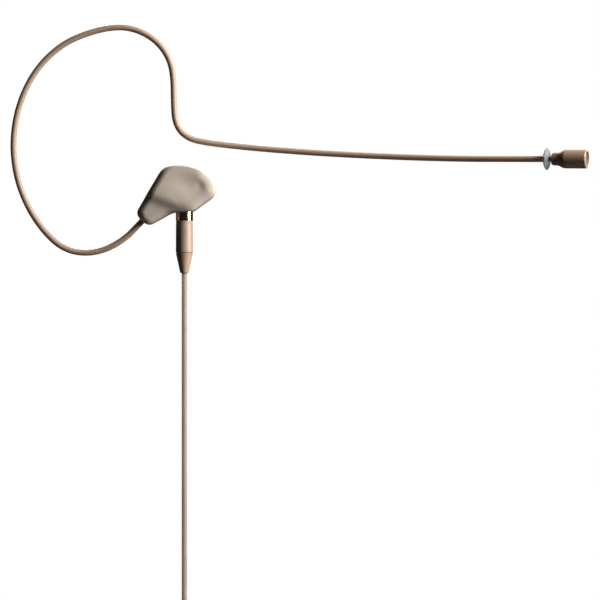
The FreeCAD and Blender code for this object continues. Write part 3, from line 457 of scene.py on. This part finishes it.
def dress_cad_nodes(materials):
    """Give the CAD nodes that stay in sight their procedural material."""
    slots = {entry["node"]: entry["material_slot"] for entry in frame["record"]["subparts"]}
    for node, piece in frame["nodes"].items():
        material = materials[slots[node]]
        if not piece.material_slots:
            piece.data.materials.append(material)
        for holder in piece.material_slots:
            holder.material = material


# ------------------------------------------------------------------ bent wire

def build_wire(materials):
    """Jacket, steel capillary and lead, one inside the other on one smooth spline."""
    start, at_pad, *_, at_capsule, end = WIRE_ROUTE
    jacket_ends = start, point_along(end, at_capsule, NECK)
    tube_ends, lead_ends = (
        (point_along(at_pad, start, inner), point_along(at_capsule, end, outer))
        for inner, outer in (TUBE_ENDS, LEAD_ENDS)
    )
    for name, (first, last), radius, slot in (
        ("boom_jacket", jacket_ends, WIRE_R, "wire_skin"),
        ("boom_tube", tube_ends, TUBE_R, "capillary_steel"),
        ("boom_lead", lead_ends, LEAD_R, "lead_insulation"),
    ):
        rod = curve_along(f"{name}_wire", [first, *WIRE_ROUTE[1:-1], last], radius)
        finished(rod, "headset", materials[slot], slot, name)


# ------------------------------------------------------------------ capsule

def build_drip_ring(materials):
    """Lens-shaped ring, thick at its bore and thin at its rim."""
    middle = -1.35
    bore, half = 0.83, 0.7
    web = [(1.3, -0.68), (1.7, -0.63), (2.1, -0.53), (2.45, -0.37), (2.7, -0.18), (2.82, -0.04)]
    rear = [(r, middle + z, 0) for r, z in web]
    front = [(r, middle - z, 0) for r, z in reversed(web)]
    outline = [(bore, middle - half)] + rear + front + [(bore, middle + half)]
    ring = turned("drip_ring_lens", rounded(outline), CAPSULE)
    finished(ring, "drip_ring", materials["clear_silicone"], "clear_silicone", "drip_ring")


def flare(start, end, low, high):
    """Points of a smooth flare between two stations and two radii."""
    steps = 10
    points = []
    for step in range(steps + 1):
        t = step / steps
        points.append((low + (high - low) * t * t * (3 - 2 * t), start + (end - start) * t, 0))
    return points


def build_capsule(materials):
    """Rubber boot, banded housing, cap with a lip, woven mesh and felt."""
    boot = [(0.535, 0.0), (1.4, 0.0, 0.35), (1.63, 0.35, 0.3)] + flare(1.35, 3.5, 1.66, 2.38)
    boot += [(2.4, 3.6, 0.03), (1.21, 3.6), (1.21, 1.2), (0.535, 1.2)]
    piece = turned("capsule_boot_moulding", rounded(boot), CAPSULE)
    finished(piece, "headset", materials["boot_rubber"], "boot_rubber", "capsule_boot")

    housing = [(0.54, 1.25), (1.2, 1.25), (1.2, 3.62), (2.34, 3.62), (2.4, 3.66), (2.4, 4.08),
               (2.34, 4.12), (2.05, 4.12), (2.05, 8.2), (1.8, 8.2), (1.8, 4.12), (0.95, 4.12),
               (0.95, 2.7), (0.54, 2.7)]
    piece = turned("capsule_housing_shell", rounded(housing, 0.04), CAPSULE)
    finished(piece, "headset", materials["capsule_paint"], "capsule_paint", "capsule_housing")

    cap = [(2.07, 4.17), (2.36, 4.17), (2.4, 4.21), (2.4, 9.0), (1.97, 9.0), (1.97, 8.8),
           (2.07, 8.8)]
    piece = turned("front_cap_shell", rounded(cap, 0.04), CAPSULE)
    finished(piece, "cap", materials["capsule_paint"], "capsule_paint", "front_cap")
    lip = [(1.97, 9.0), (2.38, 9.0, 0.02), (2.38, 9.1, 0.1), (2.26, 9.25, 0.1), (2.02, 9.25, 0.08),
           (1.97, 9.15, 0.08)]
    piece = turned("front_cap_lip", rounded(lip, 0.02), CAPSULE)
    # The lip takes the lighter copy of the capsule paint, a painted highlight on its edge.
    finished(piece, "cap", materials["lip_paint_painted_highlight"], "capsule_paint", "front_cap")

    felt = [(0, 8.3), (2.0, 8.3), (2.0, 8.66), (0, 8.66)]
    piece = turned("cap_felt_disc", rounded(felt), CAPSULE)
    finished(piece, "cap", materials["felt"], "felt", "cap_felt")
    finished(woven_disc(), "cap", materials["mesh_steel"], "mesh_steel", "front_mesh")


def woven_disc():
    """Plain weave of fine wires, cut to a disc."""
    radius, station = 2.02, 8.735
    pitch, wire_r, wire_sides = 0.17, 0.035, 6
    steps_per_pitch, fewest_steps = 4, 8
    vertices = []
    faces = []
    half = int(radius / pitch)
    for along_x in (True, False):
        for number in range(-half, half + 1):
            offset = number * pitch
            reach = math.sqrt(max(radius ** 2 - offset ** 2, 0))
            if reach < pitch:
                continue
            steps = max(int(2 * reach / pitch * steps_per_pitch), fewest_steps)
            centres = []
            for step in range(steps + 1):
                run = -reach + 2 * reach * step / steps
                lift = wire_r * math.cos(math.pi * run / pitch + math.pi * number)
                lift = lift if along_x else -lift
                flat = (run, offset) if along_x else (offset, run)
                centres.append(CAPSULE @ Vector((*flat, station + lift)))
            rod_vertices, rod_faces = rod_through(centres, wire_r, wire_sides)
            base = len(vertices)
            vertices += rod_vertices
            faces += [tuple(i + base for i in face) for face in rod_faces]
    return add_mesh("front_mesh_weave", vertices, faces)


# ------------------------------------------------------------------ ear pad

# Corners of the pad's outline in X and Z with the radius that rounds each one.
PAD_CORNERS = [
    (13.9, -48.4, 5.0), (19.3, -48.3, 1.6), (25.3, -43.9, 2.2), (24.8, -40.6, 4.0),
    (21.9, -37.5, 6.0), (17.2, -36.15, 9.0), (11.5, -36.15, 5.0), (3.9, -48.9, 2.0),
    (7.1, -52.3, 2.2),
]
# Line down the pad's middle that its rings of points close in on.
PAD_SPINE = [(8.0, -49.2), (11.3, -45.2), (14.5, -42.4), (20.3, -41.9)]
PAD_HALF = 4.7
# Radii that round the worn face's edge, the other face's, and the two wider places.
FACE_EDGE_R = 0.25
BACK_EDGE_R = 2.2
LEFT_EDGE_R = 2.3
LOBE_EDGE_R = 1.5
# Width of the band inside the edge where the face starts to fall away.
SHOULDER = 2.6


def pad_outline(count=220, softness=0.5):
    """Evenly spaced points round the pad, its corners rounded and a little softened."""
    closed = rounded(PAD_CORNERS, steps=8)
    line = np.array([tuple(p) for p in closed] + [tuple(closed[0])])
    step = np.linalg.norm(np.diff(line, axis=0), axis=1)
    way = np.concatenate([[0], np.cumsum(step)])
    even = np.linspace(0, way[-1], count, endpoint=False)
    points = np.stack([np.interp(even, way, line[:, i]) for i in (0, 1)], axis=1)
    spacing = way[-1] / count
    reach = int(3 * softness / spacing) + 1
    weights = np.exp(-0.5 * (np.arange(-reach, reach + 1) * spacing / softness) ** 2)
    weights /= weights.sum()
    return sum(w * np.roll(points, i, axis=0) for i, w in zip(range(-reach, reach + 1), weights))


def nearest_on_line(point, line):
    """Closest point of a polyline to a point."""
    best = None
    for a, b in zip(line, line[1:]):
        a, b = np.array(a), np.array(b)
        t = np.clip(np.dot(point - a, b - a) / np.dot(b - a, b - a), 0, 1)
        spot = a + (b - a) * t
        distance = np.linalg.norm(point - spot)
        if best is None or distance < best[0]:
            best = (distance, spot)
    return best[1]


def hill(x, z, centre, width, turn=0.0):
    """Smooth bump of height 1 at a centre, with its two widths and its turn in degrees."""
    cos, sin = math.cos(math.radians(turn)), math.sin(math.radians(turn))
    dx, dz = x - centre[0], z - centre[1]
    u = (dx * cos + dz * sin) / width[0]
    v = (-dx * sin + dz * cos) / width[1]
    return np.exp(-0.5 * (u * u + v * v))


def beyond(x, z, centre, towards, width):
    """Smooth step from 0 to 1 across a line through a centre, rising at an angle in degrees."""
    angle = math.radians(towards)
    distance = (x - centre[0]) * math.cos(angle) + (z - centre[1]) * math.sin(angle)
    return 1 / (1 + np.exp(-distance / width))


def face_height(x, z):
    """Half thickness of the pad's worn face before its edge is rounded."""
    step_to_neck = 1.0 * beyond(x, z, (12.6, -46.6), -112, 0.65)
    hollow = 0.58 * hill(x, z, (19.2, -41.7), (3.6, 2.5), -15)
    dimple = 0.12 * hill(x, z, (21.2, -41.6), (0.8, 0.9))
    lobe_end = 0.2 * beyond(x, z, (7.0, -50.0), -150, 1.1)
    return PAD_HALF - step_to_neck - hollow - dimple - lobe_end


def back_height(x, z):
    """Half thickness of the pad's other face before its edge is rounded."""
    return PAD_HALF - 0.9 * beyond(x, z, (9.0, -47.0), -130, 1.2)


def edge_radius(x, z, tight):
    """Radius that rounds the face's edge: wide along the left side, less round the neck lobe."""
    left = beyond(x, z, (9.5, -43.5), 150, 0.9)
    under = beyond(x, z, (13.6, -48.2), -140, 0.5)
    return tight + np.maximum((LEFT_EDGE_R - tight) * left, (LOBE_EDGE_R - tight) * under)


def shoulder_slope(x, z):
    """How steeply the face falls away at its edge, which is most at the pad's right end."""
    least, more_at_right = 0.1, 0.5
    return least + more_at_right * beyond(x, z, (21.0, -42.0), -12, 0.7)


def gap_to(points, outline):
    """Distance from each point to a closed outline."""
    run = np.roll(outline, -1, axis=0) - outline
    reach = points[:, None, :] - outline[None, :, :]
    share = np.clip((reach * run).sum(axis=2) / (run ** 2).sum(axis=1), 0, 1)
    return np.linalg.norm(reach - run * share[:, :, None], axis=2).min(axis=1)


def pad_face(outline, spine, height_at, radius, slope, rings=56, wall_rings=5):
    """Points of one face, ring by ring: up the wall from the parting line, then in."""
    way_in = 0.95
    layers = []
    for ring in range(rings + 1):
        share = 1 - way_in * (ring / rings) ** 2
        flat = spine + (outline - spine) * share
        x, z = flat[:, 0], flat[:, 1]
        gap = gap_to(flat, outline) if ring else np.zeros(len(outline))
        height = height_at(x, z) - radius + np.sqrt(radius ** 2 - np.maximum(radius - gap, 0) ** 2)
        height -= slope * SHOULDER / 2 * np.maximum(1 - gap / SHOULDER, 0) ** 2
        layers.append((x, z, height))
    x, z, top = layers[0]
    wall = [(x, z, top * step / wall_rings) for step in range(wall_rings)]
    return wall + layers


def build_pad(materials):
    """Soft moulded pad: rings of points from its outline in to a spine, on both faces."""
    outline = pad_outline()
    spine = np.array([nearest_on_line(point, PAD_SPINE) for point in outline])
    x, z = outline[:, 0], outline[:, 1]
    front = pad_face(outline, spine, face_height, edge_radius(x, z, FACE_EDGE_R),
                     shoulder_slope(x, z))
    back = pad_face(outline, spine, back_height, edge_radius(x, z, BACK_EDGE_R),
                    np.zeros(len(x)))
    count = len(outline)
    vertices = []
    faces = []
    for side, layers in ((-1, front), (1, back)):
        base = len(vertices)
        for xs, zs, heights in layers:
            vertices += [(x, side * height, z) for x, z, height in zip(xs, zs, heights)]
        for ring in range(len(layers) - 1):
            for i in range(count):
                j = (i + 1) % count
                here = base + ring * count
                faces.append((here + i, here + j, here + j + count, here + i + count))
        last = base + (len(layers) - 1) * count
        faces.append(tuple(range(last, last + count)))
    pad = add_mesh("ear_pad_moulding", vertices, faces, 180)
    split_wide_faces(pad)
    finished(pad, "headset", materials["pad_silicone"], "pad_silicone", "ear_pad")


# ------------------------------------------------------------------ socket and cable plug

THREAD_PITCH = 0.6
NOSE_R = 1.56


def helix_ridge(name, radius, depth, start, end, place):
    """Ridge of a screw thread, sunk into the rod that it runs round."""
    steps_per_turn, fade_steps = 48, 12
    root = radius - 0.05
    half = THREAD_PITCH * 0.32
    crest = half * 0.25
    section = [(root, -half), (radius + depth, -crest), (radius + depth, crest), (root, half)]
    steps = int((end - start) / THREAD_PITCH * steps_per_turn)
    vertices = []
    for step in range(steps + 1):
        angle = 2 * math.pi * step / steps_per_turn
        rise = start + THREAD_PITCH * step / steps_per_turn
        fade = min(1, step / fade_steps, (steps - step) / fade_steps)
        for r, z in section:
            r = root + (r - root) * fade
            spot = Vector((r * math.cos(angle), r * math.sin(angle), rise + z))
            vertices.append(place @ spot)
    faces = [(3, 2, 1, 0), tuple(4 * steps + i for i in range(4))]
    for step in range(steps):
        for i in range(4):
            j = (i + 1) % 4
            a, b = 4 * step, 4 * (step + 1)
            faces.append((a + i, a + j, b + j, b + i))
    return add_mesh(name, vertices, faces)


def build_socket(materials):
    """Gold shell: stub in the pad, polished collar and the threaded nose under it."""
    shell = [(1.15, -5.0), (1.7, -5.0), (1.7, -2.55), (2.3, -2.55), (2.3, -0.02, 0.06),
             (NOSE_R, 0.0), (NOSE_R, 2.5, 0.1), (1.15, 2.5)]
    body = turned("socket_shell_turning", rounded(shell), SOCKET)
    thread = helix_ridge("nose_thread", NOSE_R, 0.06, 0.35, 2.3, SOCKET)
    whole = joined("socket_shell_gold", [body, thread])
    finished(whole, "headset", materials["gold"], "gold", "socket_shell")


def build_plug(materials):
    """Coupling sleeve with a fine groove near its top, and the cone boot under it."""
    sleeve = [(1.7, 0.05), (2.15, 0.05), (2.25, 0.2, 0.05), (2.25, 0.6, 0.02),
              (2.17, 0.62, 0.02), (2.17, 0.80, 0.02), (2.25, 0.82, 0.02), (2.28, 8.35, 0.1),
              (2.15, 8.55), (1.72, 8.55), (1.72, 4.4), (1.4, 4.4), (1.4, 3.6), (1.7, 3.6)]
    piece = turned("coupling_sleeve_turning", rounded(sleeve, 0.04), SOCKET)
    finished(piece, "sleeve", materials["sleeve_paint"], "sleeve_paint", "coupling_sleeve")

    cone = [(1.62, 8.6), (2.25, 8.6, 0.06), (2.18, 9.0, 0.3), (1.18, 13.6, 0.12),
            (1.08, 13.9, 0.1), (0.755, 13.9), (0.755, 9.65), (1.62, 9.65)]
    piece = turned("cable_boot_moulding", rounded(cone, 0.05), SOCKET)
    finished(piece, "plug", materials["cone_rubber"], "cone_rubber", "cable_boot")


# ------------------------------------------------------------------ cable

COIL_TURNS = 18.5
POINTS_PER_TURN = 16
# A layer is wound across the coil in SWEEP_TURNS turns, and SHIFT_TURNS lead in to the next.
SWEEP_TURNS = 4.0
SHIFT_TURNS = 0.625
TURN_PITCH = 1.49
LAYER_PITCH = 1.47
OUTER_TURN_R = 14.0


def coil_route():
    """Control points of the coil: four layers wound one inside the other, from top to bottom."""
    # The spline runs inside its control points, so they stand that much further out.
    inside = 0.75 + 0.25 * math.cos(2 * math.pi / POINTS_PER_TURN)
    points = []
    steps = int(COIL_TURNS * POINTS_PER_TURN)
    for step in range(steps):
        turn = (step + 0.5) / POINTS_PER_TURN
        layer, part = divmod(turn, SWEEP_TURNS + SHIFT_TURNS)
        across = min(part / SWEEP_TURNS, 1)
        across = 1 - across if layer % 2 else across
        down = max(part - SWEEP_TURNS, 0) / SHIFT_TURNS
        radius = (OUTER_TURN_R - LAYER_PITCH * (layer + down)) / inside
        angle = 2 * math.pi * turn
        points.append((
            COIL_MIDDLE.x + radius * math.sin(angle),
            across * SWEEP_TURNS * TURN_PITCH,
            COIL_MIDDLE.z + radius * math.cos(angle),
        ))
    return points


def build_cable(materials):
    """The whole cable on one spline: drop, coil and tail."""
    route = DROP_ROUTE + coil_route() + TAIL_ROUTE
    cable = curve_along("cable", route, CABLE_R, 6)
    finished(cable, "plug", materials["cable_skin"], "cable_skin",
             "cable_drop", "cable_coil", "cable_tail")


def build_tie(materials):
    """Woven strap closed round the coil's bundle."""
    low, high = corner_of("coil_tie", 0), corner_of("coil_tie", 1)
    middle = (low + high) / 2
    half = (high - low) / 2
    inner_share, corner_r = 0.9, 2.2
    off_axis = 100      # the loop is rounded out here, because rounded() keeps x <= 0 sharp
    corners = [(off_axis + i * half.x, j * half.y, corner_r)
               for i, j in ((-1, -1), (1, -1), (1, 1), (-1, 1))]
    loop = [(p.x - off_axis, p.y) for p in rounded(corners, steps=8)]
    strap = []
    for share, height in ((1.0, -half.z), (1.0, half.z), (inner_share, half.z),
                          (inner_share, -half.z)):
        strap.append([(middle.x + x * share, middle.y + y * share, middle.z + height)
                      for x, y in loop])
    vertices = [point for ring in strap for point in ring]
    count = len(loop)
    faces = []
    for ring in range(4):
        a, b = ring * count, (ring + 1) % 4 * count
        for i in range(count):
            j = (i + 1) % count
            faces.append((a + i, a + j, b + j, b + i))
    tie = bevelled(add_mesh("coil_tie_strap", vertices, faces), 0.12)
    return finished(tie, "plug", materials["tie_strap"], "tie_strap", "coil_tie")


# ------------------------------------------------------------------ far connector

KNURL_GROOVES = 24
CONTACTS = 3
CONTACT_CIRCLE_R = 1.6
BOOT_RIBS = 6
THUMB_RIDGES = 4


def cutter(size, centre, place):
    """Box to carve with, of a size about a centre in a frame."""
    x, y, z = (s / 2 for s in size)
    corners = [Vector(centre) + Vector((i * x, j * y, k * z))
               for i in (-1, 1) for j in (-1, 1) for k in (-1, 1)]
    faces = [(0, 1, 3, 2), (4, 6, 7, 5), (0, 4, 5, 1), (2, 3, 7, 6), (0, 2, 6, 4), (1, 5, 7, 3)]
    return add_mesh("cutter", [place @ c for c in corners], faces, 1)


def contact_places():
    """Frames of the contacts, spaced evenly about the connector's axis."""
    places = []
    for number in range(CONTACTS):
        angle = math.radians(90 + 360 / CONTACTS * number)
        spot = Vector((math.cos(angle), math.sin(angle), 0)) * CONTACT_CIRCLE_R
        places.append(FAR @ Matrix.Translation(spot))
    return places


def build_connector(materials):
    """Shell, insert, contacts, backshell with a ribbed boot, and the thumb latch."""
    nickel = materials["connector_nickel"]
    black = materials["black_insulator"]
    shell = [(3.25, 0.0), (3.85, 0.0, 0.15), (3.85, 9.9), (4.8, 10.0, 0.12), (4.95, 10.2, 0.12),
             (4.95, 18.6), (4.85, 18.8), (4.85, 19.4), (4.95, 19.6), (4.95, 22.0), (4.25, 22.0),
             (4.25, 26.0), (3.25, 26.0)]
    body = turned("connector_shell_turning", rounded(shell), FAR)
    slot = cutter((2.6, 6.0, 13.5), (0, -6.0, 10.75), FAR)
    pieces = [finished(carved(body, slot), "plug", nickel, "connector_nickel", "connector_shell")]

    insert = [(0, 0.5), (3.2, 0.5, 0.1), (3.2, 11.0), (0, 11.0)]
    body = turned("connector_insert_moulding", rounded(insert), FAR)
    drills = [cutter((2.6, 4.0, 8.0), (0, -4.45, 8.0), FAR)]
    for place in contact_places():
        drills.append(turned("drill", [(0, -1), (0.53, -1), (0.53, 12), (0, 12)], place, 32))
    pieces.append(finished(carved(body, *drills), "plug", black, "black_insulator",
                           "connector_insert"))

    contact = [(0.33, 1.2), (0.5, 1.2), (0.5, 13.5), (0, 13.5), (0, 6.2), (0.33, 6.2)]
    tubes = [turned("contact", rounded(contact, 0.04), place, 40) for place in contact_places()]
    pieces.append(finished(joined("connector_contacts_gold", tubes), "plug", materials["gold"],
                           "gold", "connector_contacts"))

    back = [(4.3, 22.1), (4.95, 22.1, 0.1), (4.95, 26.6, 0.6), (3.4, 33.0, 0.2), (2.0, 33.0),
            (2.0, 30.5), (3.3, 30.5), (3.3, 26.6), (4.3, 26.6)]
    body = turned("connector_backshell_turning", rounded(back), FAR)
    grooves = []
    for number in range(KNURL_GROOVES):
        turn = Matrix.Rotation(2 * math.pi * number / KNURL_GROOVES, 4, "Z")
        grooves.append(cutter((0.35, 0.5, 3.2), (0, -5.1, 24.4), FAR @ turn))
    pieces.append(finished(carved(body, joined("knurl", grooves)), "plug", nickel,
                           "connector_nickel", "connector_backshell"))

    relief = [(0.775, 30.6), (1.95, 30.6), (1.95, 33.05), (3.0, 33.05, 0.3), (3.0, 34.6, 0.4)]
    for number in range(BOOT_RIBS):
        station = 35.0 + number * 1.35
        radius = 2.75 - number * 0.24
        groove = radius - 0.45
        relief += [(groove, station, 0.15), (groove, station + 0.5, 0.15),
                   (radius, station + 0.55, 0.15), (radius - 0.06, station + 1.3, 0.15)]
    relief += [(1.3, 43.2, 0.2), (1.15, 44.0, 0.2), (0.775, 44.0)]
    body = turned("connector_boot_moulding", rounded(relief), FAR)
    pieces.append(finished(body, "plug", materials["black_rubber"], "black_rubber",
                           "connector_boot"))
    build_latch(black)
    return pieces


def build_latch(black):
    """Latch bar with its hook tooth and a ridged thumb button."""
    outline = [(-3.3, 4.3), (-3.3, 17.2), (-5.35, 16.8)]
    for number in range(THUMB_RIDGES):
        top = 16.2 - number * 1.0
        outline += [(-5.62, top), (-5.62, top - 0.45), (-5.35, top - 0.5), (-5.35, top - 0.95)]
    outline += [(-5.2, 12.1), (-3.9, 11.4), (-3.9, 6.2), (-4.35, 6.2), (-3.9, 4.8), (-3.9, 4.3)]
    latch = bevelled(slab_of("latch_button_moulding", outline, 2.4, FAR), 0.08)
    finished(latch, "latch", black, "black_insulator", "latch_button")


# ------------------------------------------------------------------ camera, floor and light

# Places and sizes in this part are in metres, and light powers are in watts.
CAMERA_PLACE = (0.04773, -0.600, -0.07181)
LENS_MM = 135
SENSOR_MM = 36
KEY = dict(place=(0.455, -0.15, 0.15), target=(0.03, 0, -0.05), width=0.26, height=0.40,
           power=6.1)
REAR = dict(place=(-0.10, 0.75, 0.45), target=(0.03, 0, -0.10), width=0.25, height=0.30,
            power=5.0)
SURROUND_LIGHT = 0.012
FLOOR_BELOW = 0.6
FLOOR_R = 0.4


def point_at(thing, target):
    """Turn a light towards a point."""
    way = Vector(target) - thing.location
    thing.rotation_euler = way.to_track_quat("-Z", "Y").to_euler()


def add_camera():
    """Long lens, level and square on to the hook."""
    data = bpy.data.cameras.new("camera")
    data.sensor_width = SENSOR_MM
    data.lens = LENS_MM
    data.clip_start = 0.01
    camera = bpy.data.objects.new("camera", data)
    camera.location = CAMERA_PLACE
    camera.rotation_euler = (math.pi / 2, 0, 0)
    bpy.context.scene.collection.objects.link(camera)
    bpy.context.scene.camera = camera


def add_panel(name, place, target, width, height, power):
    """Soft rectangular light that the camera doesn't see."""
    data = bpy.data.lights.new(name, "AREA")
    data.shape = "RECTANGLE"
    data.size = width
    data.size_y = height
    data.energy = power
    light = bpy.data.objects.new(name, data)
    light.location = place
    light.visible_camera = False
    bpy.context.scene.collection.objects.link(light)
    point_at(light, target)


def add_stage(materials):
    """Pale floor far below the hanging connector, two soft panels and the surround.

    The surround is white to the camera and through the clear ring, and nearly dark to the rest,
    so that the object gets its light and shade from the panels.
    """
    add_panel("key", **KEY)
    add_panel("rear", **REAR)
    world = bpy.data.worlds.new("surround")
    world.use_nodes = True
    nodes = world.node_tree.nodes
    links = world.node_tree.links
    seen = nodes["Background"]
    seen.inputs["Color"].default_value = (1, 1, 1, 1)
    seen.inputs["Strength"].default_value = 1.0
    lit = nodes.new("ShaderNodeBackground")
    lit.inputs["Color"].default_value = (1.0, 0.98, 0.96, 1)
    lit.inputs["Strength"].default_value = SURROUND_LIGHT
    ray = nodes.new("ShaderNodeLightPath")
    sees_white = nodes.new("ShaderNodeMath")
    sees_white.operation = "MAXIMUM"
    mix = nodes.new("ShaderNodeMixShader")
    links.new(ray.outputs["Is Camera Ray"], sees_white.inputs[0])
    links.new(ray.outputs["Is Transmission Ray"], sees_white.inputs[1])
    links.new(sees_white.outputs["Value"], mix.inputs["Fac"])
    links.new(lit.outputs["Background"], mix.inputs[1])
    links.new(seen.outputs["Background"], mix.inputs[2])
    links.new(mix.outputs["Shader"], nodes["World Output"].inputs["Surface"])
    bpy.context.scene.world = world
    bpy.context.scene.view_settings.view_transform = "Standard"

    level = CAD_BOX[0][2] - FLOOR_BELOW
    bpy.ops.mesh.primitive_circle_add(vertices=96, radius=FLOOR_R, fill_type="NGON",
                                      location=(0.04, 0.0, level))
    floor = bpy.context.object
    floor.name = "floor"
    floor.data.materials.append(materials["floor_paper"])


# ------------------------------------------------------------------ build

materials = {name: surface(name, **look) for name, look in LOOKS.items()}
add_camera()
add_stage(materials)
dress_cad_nodes(materials)
build_wire(materials)
build_drip_ring(materials)
build_capsule(materials)
build_pad(materials)
build_socket(materials)
build_plug(materials)
tie = build_tie(materials)
connector = build_connector(materials)
build_cable(materials)
